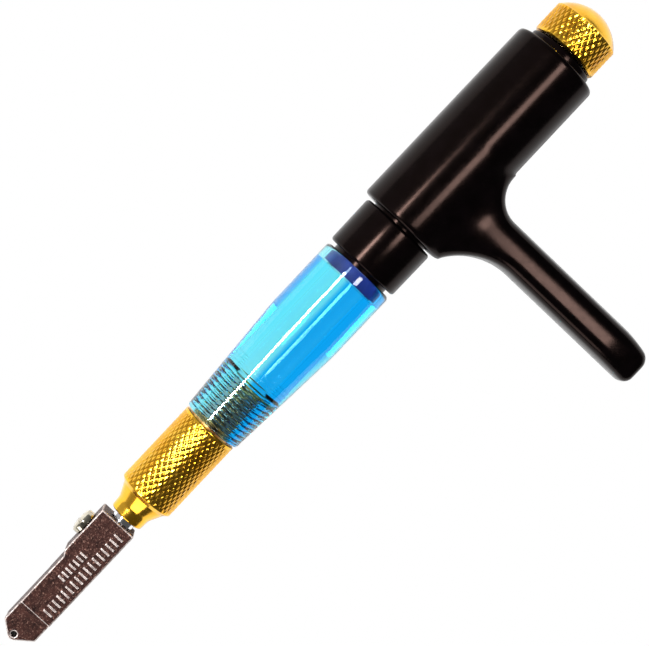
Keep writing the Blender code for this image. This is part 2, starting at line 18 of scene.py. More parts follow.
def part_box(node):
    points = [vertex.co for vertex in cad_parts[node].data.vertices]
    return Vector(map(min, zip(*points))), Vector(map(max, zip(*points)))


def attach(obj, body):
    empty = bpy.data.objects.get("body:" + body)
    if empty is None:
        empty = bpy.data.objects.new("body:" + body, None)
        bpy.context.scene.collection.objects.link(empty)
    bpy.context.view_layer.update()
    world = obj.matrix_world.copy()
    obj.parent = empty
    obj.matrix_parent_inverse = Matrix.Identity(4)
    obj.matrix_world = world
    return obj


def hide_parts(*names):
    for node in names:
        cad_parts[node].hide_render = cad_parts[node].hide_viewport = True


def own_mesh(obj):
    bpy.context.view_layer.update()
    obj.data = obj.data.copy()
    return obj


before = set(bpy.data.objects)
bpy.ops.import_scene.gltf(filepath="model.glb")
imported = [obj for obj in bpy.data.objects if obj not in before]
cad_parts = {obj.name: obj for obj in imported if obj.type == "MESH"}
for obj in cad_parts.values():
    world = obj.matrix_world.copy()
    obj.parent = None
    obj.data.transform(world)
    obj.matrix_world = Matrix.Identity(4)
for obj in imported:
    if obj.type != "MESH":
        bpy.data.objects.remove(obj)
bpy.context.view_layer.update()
MM = 0.001

# %% [markdown]
# Every turned piece shares one axis. The barrel's box gives it: the middle of its sides is the
# axis, and the wheel's lowest point is where heights along the tool start.

# %% The tool's axis and its heights
BOX = {node: np.array([list(corner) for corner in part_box(node)]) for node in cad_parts}
AXIS_Y = BOX["barrel"][:, 1].mean()
AXIS_Z = BOX["barrel"][:, 2].mean()
TIP_X = BOX["cutting_wheel"][0, 0]


def span(node):
    """Lowest and highest height of a node along the tool, from the wheel's lowest point."""
    return BOX[node][0, 0] - TIP_X, BOX[node][1, 0] - TIP_X


def outer(node):
    """A turned node's largest radius: half of its box's side across the tool."""
    return (BOX[node][1, 2] - BOX[node][0, 2]) / 2


print("length in mm:", round(span("filler_cap")[1] / MM, 2))
print("axis in mm:", round(AXIS_Y / MM, 2), round(AXIS_Z / MM, 2))

# %% [markdown]
# A mesh needs corners, faces and normals that point outwards. The signed volume tells which way a
# closed surface faces: it is the sum over its triangles of the dot product of one corner with the
# cross product of the other two, and it is negative when the surface is inside out.

# %% Put arrays into a mesh
def facing_out(points, faces):
    """The faces turned round if the sum of p0 . (p1 x p2) over their triangles is negative."""
    volume = 0.0
    for k in range(1, faces.shape[1] - 1):
        a, b, c = points[faces[:, 0]], points[faces[:, k]], points[faces[:, k + 1]]
        volume += np.einsum("ij,ij->i", a, np.cross(b, c)).sum()
    return faces[:, ::-1] if volume < 0 else faces


def quads_and_fans(points, quads, fans):
    """Quads and triangles as one list of faces, all turned round if they face inwards."""
    probe = np.concatenate([quads[:, [0, 1, 2]], quads[:, [0, 2, 3]], fans])
    lists = quads.tolist() + fans.tolist()
    outward = np.array_equal(facing_out(points, probe), probe)
    return lists if outward else [face[::-1] for face in lists]


def in_scene(name, data):
    """A new object for some data, linked to the scene."""
    thing = bpy.data.objects.new(name, data)
    bpy.context.scene.collection.objects.link(thing)
    return thing


def new_piece(name, points, faces, attributes=None, sharp=None):
    """A mesh object at the origin from points, faces and values stored at its points."""
    if not isinstance(faces, list):
        faces = facing_out(points, faces).tolist()
    mesh = bpy.data.meshes.new(name)
    mesh.from_pydata(points.tolist(), [], faces)
    mesh.update()
    for key, values in (attributes or {}).items():
        layer = mesh.attributes.new(key, "FLOAT", "POINT")
        layer.data.foreach_set("value", np.asarray(values, np.float32))
    mesh.shade_smooth()
    if sharp is not None:
        mesh.set_sharp_from_angle(angle=math.radians(sharp))
    return in_scene(name, mesh)


# %% [markdown]
# A turned piece is a profile carried round the axis. Its surface is a grid: one parameter runs
# along the profile, the other is the angle. A relief function may move each point in or out, which
# is how the knurls and the thread are cut.

# %% Turned surfaces
def fillet(corners, arc=6):
    """Profile points from (radius, height, fillet) corners.

    A fillet is the arc of that radius tangent to both sides of its corner. If the sides meet at the
    angle 2 a, it starts at fillet / tan a from the corner, and its centre is fillet / sin a away.
    """
    points = []
    for i, (x, y, size) in enumerate(corners):
        if size == 0:
            points.append((x, y))
            continue
        here = np.array([x, y])
        back = np.array(corners[i - 1][:2]) - here
        ahead = np.array(corners[(i + 1) % len(corners)][:2]) - here
        back /= np.hypot(*back)
        ahead /= np.hypot(*ahead)
        half = math.acos(np.clip(back @ ahead, -1, 1)) / 2
        middle = (back + ahead) / np.hypot(*(back + ahead))
        centre = here + middle * size / math.sin(half)
        start = here + back * size / math.tan(half) - centre
        end = here + ahead * size / math.tan(half) - centre
        first, last = math.atan2(start[1], start[0]), math.atan2(end[1], end[0])
        sweep = (last - first + math.pi) % (2 * math.pi) - math.pi
        for k in range(arc + 1):
            angle = first + sweep * k / arc
            points.append(tuple(centre + size * np.array([math.cos(angle), math.sin(angle)])))
    return np.array(points)


def densify(profile, step, between):
    """The profile with points about a step apart in height, on sides that lie in between."""
    low, high = between[0] - 1e-9, between[1] + 1e-9
    out = []
    for a, b in zip(profile, np.roll(profile, -1, axis=0)):
        out.append(a[None])
        climb = abs(b[1] - a[1])
        if min(a[1], b[1]) >= low and max(a[1], b[1]) <= high and climb > step:
            parts = int(round(climb / step))
            share = np.arange(1, parts)[:, None] / parts
            out.append(a + (b - a) * share)
    return np.concatenate(out)


def carried_round(radii, heights, around, relief, along, centre):
    """Points and faces of a turned surface.

    Angle t runs over a full turn. A point stands at radius r(h) + relief from the axis, in the
    direction (cos t, sin t), at height h along it. A profile whose ends have radius 0 closes in two
    poles, and any other is a closed loop.
    """
    turn = 2 * np.pi * np.arange(around) / around
    poles = radii[0] == 0 and radii[-1] == 0
    ring_r = radii[1:-1] if poles else radii
    ring_h = heights[1:-1] if poles else heights
    r, t = np.meshgrid(ring_r, turn, indexing="ij")
    h = np.broadcast_to(ring_h[:, None], r.shape)
    moved = relief(r, t, h) if relief else np.zeros_like(r)
    r = r + moved
    local = np.stack([h.ravel(), (r * np.cos(t)).ravel(), (r * np.sin(t)).ravel()], axis=1)
    rows = len(ring_r)
    i, j = np.meshgrid(np.arange(rows - 1 if poles else rows), np.arange(around), indexing="ij")
    here, above = i * around, ((i + 1) % rows) * around
    beside = (j + 1) % around
    quads = np.stack([here + j, here + beside, above + beside, above + j], axis=-1).reshape(-1, 4)
    fans = None
    if poles:
        pole, base = np.full(around, len(local)), (rows - 1) * around
        local = np.concatenate([local, [[heights[0], 0, 0], [heights[-1], 0, 0]]])
        j, beside = j[0], beside[0]
        top = np.stack([pole, beside, j], axis=1)
        low = np.stack([pole + 1, base + j, base + beside], axis=1)
        fans = np.concatenate([top, low])
    if along == "tool":
        points = local + np.array([TIP_X, AXIS_Y, AXIS_Z])
    elif along == "up":
        points = local[:, [1, 2, 0]] + np.array(centre)
    else:
        points = local[:, [1, 0, 2]] * np.array([1, 1, -1]) + np.array(centre)
    return points, quads, fans, moved.ravel()


def turned(name, profile, around=96, relief=None, along="tool", centre=None, sharp=35):
    """A turned piece from profile points (radius, height), with its relief stored as "cut"."""
    points, faces, fans, moved = carried_round(*profile.T, around, relief, along, centre)
    if fans is not None:
        faces = quads_and_fans(points, faces, fans)
        moved = np.concatenate([moved, [0, 0]])
    return new_piece(name, points, faces, {"cut": moved / MM}, sharp)


print("turning is ready")

# %% [markdown]
# Moulded and cast pieces have no axis to turn on. They are drawn as a field of signed distance: a
# number at each place, negative inside the piece and zero on its skin. Fields are joined with the
# smaller of two numbers and cut with the larger, and a softened smaller or larger leaves a fillet.
# The skin is then found on a grid of small cells.

# %% Fields and their skin
def soft_larger(a, b, size):
    """The larger of two fields, rounded by size where they are nearly equal."""
    near = np.maximum(size - np.abs(a - b), 0) / size
    return np.maximum(a, b) + near * near * size / 4


def soft_smaller(a, b, size):
    """The smaller of two fields, with a fillet of about size between them."""
    return -soft_larger(-a, -b, size)


def either_side(field, points, reach):
    """For each axis, the field a little further along it and a little further back."""
    return [(field(*(points + away).T), field(*(points - away).T)) for away in reach * np.eye(3)]


MARGIN = 0.6 * MM


def skin(field, node, cell):
    """The closed surface where a field is zero, as points and quads, around a node's box.

    Each grid cell that the surface crosses gets one point, the mean of the places where its twelve
    edges cross zero. Each grid edge that crosses zero gets one face, through the four cells around
    it. The points are then moved along the field's slope on to its zero.
    """
    low, high = BOX[node][0] - MARGIN, BOX[node][1] + MARGIN
    count = np.ceil((high - low) / cell).astype(int) + 1
    axes = [low[k] + cell * np.arange(count[k]) for k in range(3)]
    grid = np.stack(np.meshgrid(*axes, indexing="ij"))
    values = field(*grid.reshape(3, -1)).reshape(count)
    inside = values < 0
    total = np.zeros((3, *(count - 1)))
    hits = np.zeros(count - 1)
    corner = grid[:, :-1, :-1, :-1]
    for axis in range(3):
        for u, v in ((0, 0), (0, 1), (1, 0), (1, 1)):
            start = np.insert([u, v], axis, 0)
            end = np.insert([u, v], axis, 1)
            a, b = (values[tuple(slice(k, k + n - 1) for k, n in zip(at, count))]
                    for at in (start, end))
            crossed = (a < 0) != (b < 0)
            share = np.where(crossed, a / np.where(crossed, a - b, 1), 0)
            hits += crossed
            for k in range(3):
                part = start[k] + (share if k == axis else 0)
                total[k] += crossed * (corner[k] + cell * part)
    used = hits > 0
    index = np.full(used.shape, -1)
    index[used] = np.arange(used.sum())
    points = (total[:, used] / hits[used]).T
    faces = []
    for axis in range(3):
        p, q = (axis + 1) % 3, (axis + 2) % 3
        crossing = np.diff(inside.astype(np.int8), axis=axis)
        where = np.argwhere(crossing != 0)
        where = where[(where[:, p] > 0) & (where[:, q] > 0)]
        way = crossing[tuple(where.T)]
        around = []
        for dp, dq in ((-1, -1), (0, -1), (0, 0), (-1, 0)):
            place = where.copy()
            place[:, p] += dp
            place[:, q] += dq
            around.append(index[tuple(place.T)])
        quad = np.stack(around, axis=1)
        quad[way > 0] = quad[way > 0][:, ::-1]
        faces.append(quad)
    for _ in range(3):
        sides = either_side(field, points, cell / 4)
        slope = np.stack([(ahead - behind) / (cell / 2) for ahead, behind in sides], axis=1)
        steep = np.maximum((slope ** 2).sum(axis=1), 0.05)
        move = -(field(*points.T) / steep)[:, None] * slope
        length = np.linalg.norm(move, axis=1, keepdims=True)
        points = points + move * np.minimum(1, cell / 2 / np.maximum(length, 1e-12))
    return points, np.concatenate(faces)


def roundness(field, points, reach):
    """How sharply the skin bends outwards at each point: the field's Laplacian, times reach."""
    around = sum(ahead + behind for ahead, behind in either_side(field, points, reach))
    return (around - 6 * field(*points.T)) / reach


print("fields are ready")

# %% [markdown]
# ## Finishes
#
# Each finish is a small tree of nodes that reads Object coordinates, so that grain and wear stay
# at their real size in metres. One helper makes the tree, and each finish adds what its surface
# needs.

# %% A helper for finishes
def set_sockets(node, **values):
    """Plain values for a node's sockets, named with _ for each space."""
    for key, value in values.items():
        node.inputs[key.replace("_", " ")].default_value = value


class Nodes:
    """A tree of nodes and a short way to add one to it."""

    def __init__(self, tree):
        self.tree = tree

    def add(self, kind, sources=None, **settings):
        """A node, with sources linked to its sockets. Capitals name sockets, the rest settings."""
        node = self.tree.nodes.new(kind)
        for key, value in settings.items():
            if key[0].isupper():
                set_sockets(node, **{key: value})
            else:
                setattr(node, key, value)
        for socket, source in (sources or {}).items():
            self.tree.links.new(source, node.inputs[socket])
        return node


class Finish(Nodes):
    """A material's nodes, with the patterns that the finishes share."""

    def __init__(self, name):
        self.material = bpy.data.materials.new(name)
        self.material.use_nodes = True
        super().__init__(self.material.node_tree)
        self.shader = self.tree.nodes["Principled BSDF"]
        self.place = self.add("ShaderNodeTexCoord").outputs["Object"]

    def end(self, source, socket="Surface"):
        """Links a source to the material's output."""
        self.tree.links.new(source, self.tree.nodes["Material Output"].inputs[socket])

    def set(self, **values):
        set_sockets(self.shader, **values)

    def noise(self, scale, detail=2.0, stretch=(1, 1, 1), rough=0.5):
        """Noise of a given number of lumps a metre, drawn out along an axis by a small stretch."""
        drawn = self.add("ShaderNodeMapping", {"Vector": self.place}, Scale=stretch)
        return self.add(
            "ShaderNodeTexNoise", {"Vector": drawn.outputs["Vector"]},
            Scale=scale, Detail=detail, Roughness=rough).outputs["Fac"]

    def ramp(self, source, stops):
        """Colours by value: stops are (place, colour)."""
        node = self.add("ShaderNodeValToRGB", {"Fac": source})
        ramp = node.color_ramp
        while len(ramp.elements) < len(stops):
            ramp.elements.new(0.5)
        for element, (at, colour) in zip(ramp.elements, stops):
            element.position = at
            element.color = (*colour, 1)
        return node.outputs["Color"]

    def spread(self, source, low, high, start=0.0, end=1.0):
        """The source's range from start to end, stretched over low to high."""
        return self.add(
            "ShaderNodeMapRange", {"Value": source},
            From_Min=start, From_Max=end, To_Min=low, To_Max=high).outputs["Result"]

    def mix(self, share, first, second, how="MIX"):
        """Two colours mixed by a share, each an output or a plain colour."""
        node = self.add("ShaderNodeMix", data_type="RGBA", blend_type=how)
        for source, target in ((share, 0), (first, 6), (second, 7)):
            if isinstance(source, (int, float)):
                node.inputs[target].default_value = source
            elif isinstance(source, tuple):
                node.inputs[target].default_value = (*source, 1)
            else:
                self.tree.links.new(source, node.inputs[target])
        return node.outputs[2]

    def value_at_points(self, name):
        """A number stored at the mesh's points."""
        return self.add("ShaderNodeAttribute", attribute_name=name).outputs["Fac"]

    def bump(self, height, strength, depth):
        """Small heights on the surface, in metres, without moving it."""
        node = self.add("ShaderNodeBump", {"Height": height}, Strength=strength, Distance=depth)
        self.tree.links.new(node.outputs["Normal"], self.shader.inputs["Normal"])

    def colour(self, source):
        self.tree.links.new(source, self.shader.inputs["Base Color"])

    def roughness(self, scale, detail, low, high, start=0.3, end=0.7):
        """Roughness from low to high, by a noise of some scale as it goes from start to end."""
        source = self.spread(self.noise(scale, detail), low, high, start, end)
        self.tree.links.new(source, self.shader.inputs["Roughness"])


print("finish helper is ready")

# %% [markdown]
# Brass is turned bright and then handled. Its colour drifts a little, the lathe leaves fine rings
# round it, and the knurl's grooves are darker than its points.

# %% Brass, chrome, nickel and steel
def brass(name, grooves=0.0, groove_depth=0.12):
    """Golden brass. The stored cut, in millimetres below the tops, darkens by the share grooves."""
    made = Finish(name)
    made.set(Metallic=1.0)
    drift = made.ramp(made.noise(260, 3), [(0.3, (0.88, 0.42, 0.022)), (0.7, (0.97, 0.57, 0.055))])
    if grooves:
        # Darker the deeper the stored cut goes, so the grooves are darker than the points.
        depth = made.spread(made.value_at_points("cut"), 0, 1, start=-groove_depth, end=0)
        darker_in_grooves = made.ramp(depth, [(0.0, (0.30, 0.15, 0.03)), (0.6, (1, 1, 1))])
        drift = made.mix(grooves, drift, darker_in_grooves, "MULTIPLY")
    made.colour(drift)
    made.roughness(900, 4, 0.12, 0.24)
    made.bump(made.noise(3000, 2, stretch=(4, 0.3, 0.3)), 0.15, 0.00002)
    return made.material


def oiled_brass(name):
    """Brass left dull by oil: olive and brown stains, darker in the thread's grooves."""
    made = Finish(name)
    made.set(Metallic=0.6)
    stains = made.ramp(made.noise(330, 3), [
        (0.36, (0.16, 0.07, 0.02)), (0.50, (0.72, 0.36, 0.09)), (0.62, (1.0, 0.72, 0.30))])
    # Darker the deeper the stored cut goes, in the thread's grooves.
    depth = made.spread(made.value_at_points("cut"), 0, 1, start=-0.45, end=0)
    darker_in_grooves = made.ramp(depth, [(0.15, (0.08, 0.06, 0.05)), (0.8, (1, 1, 1))])
    made.colour(made.mix(0.9, stains, darker_in_grooves, "MULTIPLY"))
    made.roughness(1100, 4, 0.32, 0.60)
    made.bump(made.noise(2500, 3), 0.3, 0.00003)
    return made.material


def bright_metal(name, dark, light, rough, ring_bump=0.2):
    """A bright plated or ground metal, with faint clouds and fine rings along the tool."""
    made = Finish(name)
    made.set(Metallic=1.0)
    made.colour(made.ramp(made.noise(500, 3), [(0.3, dark), (0.7, light)]))
    made.roughness(1500, 3, rough * 0.7, rough * 1.5)
    made.bump(made.noise(3500, 2, stretch=(4, 0.4, 0.4)), ring_bump, 0.00001)
    return made.material


BRASS_KNURLED = brass("brass_knurled", grooves=0.6)
BRASS_PLAIN = brass("brass_plain")
BRASS_THREADED = oiled_brass("brass_threaded")
CHROME = bright_metal("chrome", (0.72, 0.73, 0.75), (0.88, 0.88, 0.90), 0.10)
NICKEL = bright_metal("nickel", (0.42, 0.38, 0.30), (0.74, 0.70, 0.58), 0.12)
STEEL = bright_metal("steel", (0.30, 0.29, 0.28), (0.55, 0.54, 0.53), 0.30)
OILED_STEEL = bright_metal("oiled_steel", (0.015, 0.013, 0.012), (0.05, 0.045, 0.04), 0.34)
CARBIDE = bright_metal("ground_carbide", (0.20, 0.20, 0.21), (0.38, 0.38, 0.40), 0.28, 0.6)
print("metals:", [m.name for m in (BRASS_KNURLED, BRASS_PLAIN, CHROME, NICKEL, STEEL, CARBIDE)])

# %% [markdown]
# The head is pressed from metal powder and sintered. It is dark and reddish brown, speckled where
# the grains catch the light, and rubbed bright where its edges and raised marks stand proud.

# %% Sintered steel
def sintered(name):
    """Dark brown sintered steel. The stored wear is how sharply the skin bends outwards."""
    made = Finish(name)
    made.set(Metallic=0.75)
    body = made.ramp(
        made.noise(700, 4, rough=0.7),
        [(0.32, (0.014, 0.004, 0.003)), (0.68, (0.068, 0.024, 0.018))])
    grains = made.spread(made.noise(3000, 2, rough=0.8), 0, 0.9, 0.56, 0.72)
    body = made.mix(grains, body, (0.32, 0.17, 0.13))
    wear = made.spread(made.value_at_points("wear"), 0, 1, 0.18, 0.75)
    patches = made.spread(made.noise(1600, 3), 0.45, 1.0, 0.35, 0.6)
    rubbed = made.add("ShaderNodeMath", {0: wear, 1: patches}, operation="MULTIPLY")
    body = made.mix(rubbed.outputs["Value"], body, (0.80, 0.70, 0.66))
    made.colour(body)
    made.roughness(2600, 3, 0.34, 0.62)
    made.bump(made.noise(4200, 3, rough=0.7), 0.55, 0.00006)
    return made.material


SINTERED = sintered("sintered_steel")

# %% [markdown]
# The collar and the saddle are moulded in black plastic with a satin skin. What makes it look real
# is not its colour, which is nearly nothing, but its shine: a little uneven, over a very fine
# grain.

# %% Black plastic, rubber and clear blue plastic
def satin_black(name, rough):
    """Black moulded plastic with a faint grain and an uneven sheen."""
    made = Finish(name)
    made.colour(made.ramp(made.noise(350, 3), [
        (0.35, (0.0004, 0.0003, 0.0004)), (0.7, (0.0014, 0.0009, 0.0012))]))
    made.set(Specular_Tint=(1.0, 0.62, 0.52, 1), Specular_IOR_Level=0.13)
    made.roughness(1200, 4, rough * 0.85, rough * 1.2)
    made.bump(made.noise(6000, 2), 0.12, 0.00003)
    return made.material


def painted_glow_black(name):
    """The sleeve's foot in the barrel: black plastic with a painted blue tint and a painted blue
    glow, standing in for the blue light seen there through the barrel.
    """
    made = Finish(name)
    cloud = made.noise(420, 3, stretch=(0.6, 1, 1))
    # Painted blue tint: the black plastic is coloured blue for the light seen through the barrel.
    made.colour(made.ramp(cloud, [(0.35, (0.001, 0.006, 0.10)), (0.7, (0.003, 0.02, 0.26))]))
    made.roughness(900, 2, 0.5, 0.8, 0, 1)
    # Painted glow: a faint blue emission, though the sleeve is no lamp.
    made.set(Emission_Color=(0.0, 0.035, 0.42, 1), Emission_Strength=0.15)
    return made.material


def soft_black(name):
    """Black rubber: matt, with a dusty cloud."""
    made = Finish(name)
    made.colour(made.ramp(made.noise(900, 3), [
        (0.3, (0.012, 0.012, 0.012)), (0.7, (0.035, 0.034, 0.033))]))
    made.roughness(2000, 2, 0.6, 0.85, 0, 1)
    return made.material


def clear_blue(name):
    """Polished blue plastic. Colour comes from what the light loses on its way through."""
    made = Finish(name)
    made.set(Transmission_Weight=1.0, IOR=1.49, Base_Color=(1, 1, 1, 1))
    made.roughness(500, 3, 0.0, 0.035, 0.35, 0.75)
    made.bump(made.noise(240, 2, stretch=(0.25, 1, 1)), 0.04, 0.0002)
    lost = made.add("ShaderNodeVolumeAbsorption", Color=(0.0, 0.90, 1.0, 1), Density=200.0)
    made.end(lost.outputs["Volume"], "Volume")
    return made.material


SATIN_BLACK = satin_black("satin_black", 0.16)
PAINTED_GLOW_BLACK = painted_glow_black("painted_glow_black")
RUBBER = soft_black("black_rubber")
CLEAR_BLUE = clear_blue("clear_blue")
print("plastics:", [m.name for m in (SATIN_BLACK, RUBBER, CLEAR_BLUE)])


def settle(piece, finish, body, slot, *nodes):
    """Gives a piece its finish, puts it on its body and lets it stand for its CAD nodes."""
    piece.data.materials.append(finish)
    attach(piece, body)
    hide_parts(*nodes)
    print(piece.name, "faces:", len(piece.data.polygons))


def shade_by_height(piece, low, high):
    """The second finish on the faces whose middles lie between two heights along the tool."""
    middles = np.empty(3 * len(piece.data.polygons))
    piece.data.polygons.foreach_get("center", middles)
    chosen = (middles[::3] - TIP_X > low) & (middles[::3] - TIP_X < high)
    piece.data.polygons.foreach_set("material_index", chosen.astype(np.int32))
    print(piece.name, "faces with the second finish:", int(chosen.sum()))


# %% [markdown]
# ## The ferrule
#
# The ferrule is turned from brass rod. Two knurling wheels roll crossed grooves into it, which
# leaves rows of small four-sided points. With n grooves round and a lead p along, the two families
# lie where n t / 2 pi + h / p and n t / 2 pi - h / p are whole numbers. Height above the groove is
# the smaller of the two distances to a groove.

# %% Knurl and thread
FLAT_TOP = 0.8


def knurl(count, lead, depth, low, high):
    """A relief function: diamond points between two heights, faded out over a quarter of a lead.

    The points are cut flat where the distance to a groove passes FLAT_TOP of its greatest.
    """
    def relief(r, t, h):
        turns = count * t / (2 * np.pi)
        first = np.abs((turns + h / lead + 0.5) % 1 - 0.5) * 2
        second = np.abs((turns - h / lead + 0.5) % 1 - 0.5) * 2
        point = np.minimum(np.minimum(first, second) / FLAT_TOP, 1)
        fade = np.clip(np.minimum(h - low, high - h) / (lead / 4), 0, 1)
        return -depth * (1 - point) * fade
    return relief


def thread(pitch, depth, low, high, where):
    """A relief function: a V thread, as deep as h / pitch - t / 2 pi is far from a whole number."""
    def relief(r, t, h):
        flank = np.abs((h / pitch - t / (2 * np.pi) + 0.5) % 1 - 0.5) * 2
        fade = np.clip(np.minimum(h - low, high - h) / (pitch / 2), 0, 1)
        return -depth * flank * fade * where(r)
    return relief


ferrule_low, SPIGOT_TOP = span("ferrule")
FERRULE_R = outer("ferrule")
NOSE_R, CONE_R, SPIGOT_R, CHAMBER_R = 3.3 * MM, 4.7 * MM, 4.3 * MM, 3.4 * MM
NOSE_TOP, CONE_TOP, KNURL_LOW, KNURL_HIGH = 32.0 * MM, 34.6 * MM, 35.3 * MM, 51.9 * MM
KNURL_COUNT, KNURL_LEAD, KNURL_DEPTH = 36, 1.66 * MM, 0.12 * MM
THREAD_PITCH, THREAD_DEPTH = 1.0 * MM, 0.45 * MM
STEM_R, STEM_PLAY, CHAMBER_FLOOR = 2.25 * MM, 0.12 * MM, 37.0 * MM

ferrule_profile = fillet([
    (CHAMBER_R, SPIGOT_TOP, 0),
    (SPIGOT_R, SPIGOT_TOP, 0.3 * MM),
    (SPIGOT_R, KNURL_HIGH, 0),
    (FERRULE_R, KNURL_HIGH, 0.25 * MM),
    (FERRULE_R, KNURL_LOW, 0.12 * MM),
    (CONE_R, CONE_TOP, 0.3 * MM),
    (NOSE_R + 0.12 * MM, NOSE_TOP, 2.0 * MM),
    (NOSE_R, ferrule_low, 0.35 * MM),
    (STEM_R + STEM_PLAY, ferrule_low, 0),
    (STEM_R + STEM_PLAY, CHAMBER_FLOOR, 0),
    (CHAMBER_R, CHAMBER_FLOOR, 0),
], arc=5)
knurled_part = densify(ferrule_profile, KNURL_LEAD / 8, (KNURL_LOW, KNURL_HIGH))
ferrule_profile = densify(knurled_part, THREAD_PITCH / 8, (KNURL_HIGH, SPIGOT_TOP))
cut_knurl = knurl(
    KNURL_COUNT, KNURL_LEAD, KNURL_DEPTH, KNURL_LOW + 0.1 * MM, KNURL_HIGH - 0.25 * MM)
cut_thread = thread(
    THREAD_PITCH, THREAD_DEPTH, KNURL_HIGH + 0.5 * MM, SPIGOT_TOP, lambda r: r > 4.2 * MM)


def ferrule_relief(r, t, h):
    """The knurl where the ferrule is widest, and the thread on its spigot."""
    knurled = np.where(r > FERRULE_R - 0.02 * MM, cut_knurl(r, t, h), 0)
    return knurled + np.where(h > KNURL_HIGH, cut_thread(r, t, h), 0)


ferrule = turned("ferrule_knurled", ferrule_profile, KNURL_COUNT * 8, ferrule_relief, sharp=25)
settle(ferrule, BRASS_KNURLED, "barrel", "brass", "ferrule")
ferrule.data.materials.append(BRASS_THREADED)
shade_by_height(ferrule, KNURL_HIGH + 0.02 * MM, SPIGOT_TOP)

# %% [markdown]
# ## The filler cap
#
# The cap's skirt has the same kind of knurl, set steeper, and its dome is a piece of a sphere: at
# angle a from the top its radius is R sin a, and it drops by R (1 - cos a).

# %% Filler cap
cap_low, cap_high = span("filler_cap")
CAP_R, DOME_R = outer("filler_cap"), 8.05 * MM
CAP_KNURL_COUNT, CAP_LEAD, CAP_KNURL_DEPTH = 40, 1.9 * MM, 0.14 * MM
sweep = math.asin((CAP_R - 0.15 * MM) / DOME_R)
dome_angle = sweep * np.arange(25) / 24
dome = np.stack([DOME_R * np.sin(dome_angle), cap_high - DOME_R * (1 - np.cos(dome_angle))], axis=1)
skirt_top = dome[-1, 1] - 0.12 * MM
CAP_BORE, CAP_CEILING = 5.3 * MM, span("cap_gasket")[1] + 0.3 * MM
cap_profile = np.concatenate([dome, [
    (CAP_R, skirt_top),
    (CAP_R, cap_low + 0.3 * MM),
    (CAP_R - 0.25 * MM, cap_low),
    (CAP_BORE, cap_low),
    (CAP_BORE, CAP_CEILING),
    (0, CAP_CEILING),
]])
cap_profile = densify(cap_profile, CAP_LEAD / 8, (cap_low + 0.3 * MM, skirt_top))
cap_knurl = knurl(
    CAP_KNURL_COUNT, CAP_LEAD, CAP_KNURL_DEPTH, cap_low + 0.15 * MM, skirt_top + 0.05 * MM)


def cap_relief(r, t, h):
    """The knurl on the skirt only."""
    return np.where(r > CAP_R - 0.02 * MM, cap_knurl(r, t, h), 0)


cap = turned("filler_cap_knurled", cap_profile, CAP_KNURL_COUNT * 8, cap_relief, sharp=25)
settle(cap, BRASS_KNURLED, "filler_cap", "brass", "filler_cap")

# %% [markdown]
# ## The barrel
#
# The barrel is one thick-walled moulding. What shows through it depends on its inside as much as
# its outside, so the bore, the step and the thread inside are all real surfaces, and the wall is
# closed.

# %% Barrel
barrel_low, barrel_high = span("barrel")
BARREL_R, FOOT_R, NECK_R, BORE_R = outer("barrel"), 5.77 * MM, 5.0 * MM, 4.0 * MM
SHOULDER, TAPER_TOP = 90.3 * MM, 75.9 * MM
PLAY = 0.3 * MM
SLEEVE_R, FOOT_FLOOR = 5.9 * MM, span("grip_sleeve")[0] - PLAY
SOCKET_R, SOCKET_TOP, STEP = SPIGOT_R + 0.06 * MM, 62.9 * MM, 0.6 * MM
RINGS_TOP, RING_PITCH, RING_DEPTH = 66.2 * MM, 0.9 * MM, 0.12 * MM
barrel_profile = fillet([
    (NECK_R, barrel_high, 0.2 * MM),
    (NECK_R, FOOT_FLOOR, 0),
    (SLEEVE_R + PLAY, FOOT_FLOOR, 0),
    (SLEEVE_R + PLAY, SHOULDER, 0.15 * MM),
    (BARREL_R, SHOULDER, 0.8 * MM),
    (BARREL_R, TAPER_TOP, 50 * MM),
    (FOOT_R, barrel_low, 0.4 * MM),
    (SOCKET_R, barrel_low, 0),
    (SOCKET_R, SOCKET_TOP, 0),
    (BORE_R, SOCKET_TOP + STEP, 0),
    (BORE_R, RINGS_TOP, 0),
    (BORE_R, barrel_high, 0),
], arc=8)
barrel_profile = densify(barrel_profile, THREAD_PITCH / 8, (barrel_low, RINGS_TOP))
socket_thread = thread(
    THREAD_PITCH, THREAD_DEPTH, barrel_low + 0.5 * MM, SOCKET_TOP, lambda r: r < 4.5 * MM)


def barrel_relief(r, t, h):
    """The socket's thread, and above it the boring tool's rings: depth / 2 times (1 - cos)."""
    inside = (h < SOCKET_TOP) & (r < SOCKET_R + 0.01 * MM)
    above = h - SOCKET_TOP - STEP
    ringed = (above > 0) & (h < RINGS_TOP) & (r < BORE_R + 0.01 * MM)
    rings = RING_DEPTH / 2 * (1 - np.cos(2 * np.pi * above / RING_PITCH))
    return np.where(inside, socket_thread(r, t, h), 0) + np.where(ringed, rings, 0)


barrel = turned("barrel_clear", barrel_profile, 128, barrel_relief, sharp=30)
settle(barrel, CLEAR_BLUE, "barrel", "acrylic", "barrel")

# %% [markdown]
# ## Sleeve, collar, stem and the small turned pieces
#
# These are plain turned pieces. Their edges are broken with small arcs, because a real edge always
# catches a thin line of light.

# %% Sleeve and lock collar
sleeve_low, sleeve_high = span("grip_sleeve")
FLANGE_R = outer("grip_sleeve")
flange_low = span("saddle")[1] + 0.1 * MM
sleeve = turned("grip_sleeve_moulded", fillet([
    (NECK_R + PLAY, sleeve_high, 0),
    (FLANGE_R, sleeve_high, 0.5 * MM),
    (FLANGE_R, flange_low, 0),
    (SLEEVE_R, flange_low, 0),
    (SLEEVE_R, SHOULDER, 0),
    (SLEEVE_R, sleeve_low, 0),
    (NECK_R + PLAY, sleeve_low, 0),
    (NECK_R + PLAY, SHOULDER, 0),
]), 128)
settle(sleeve, SATIN_BLACK, "barrel", "black_plastic", "grip_sleeve")
# The foot inside the barrel gets the painted blue tint and painted glow.
sleeve.data.materials.append(PAINTED_GLOW_BLACK)
shade_by_height(sleeve, sleeve_low - 0.1 * MM, SHOULDER)

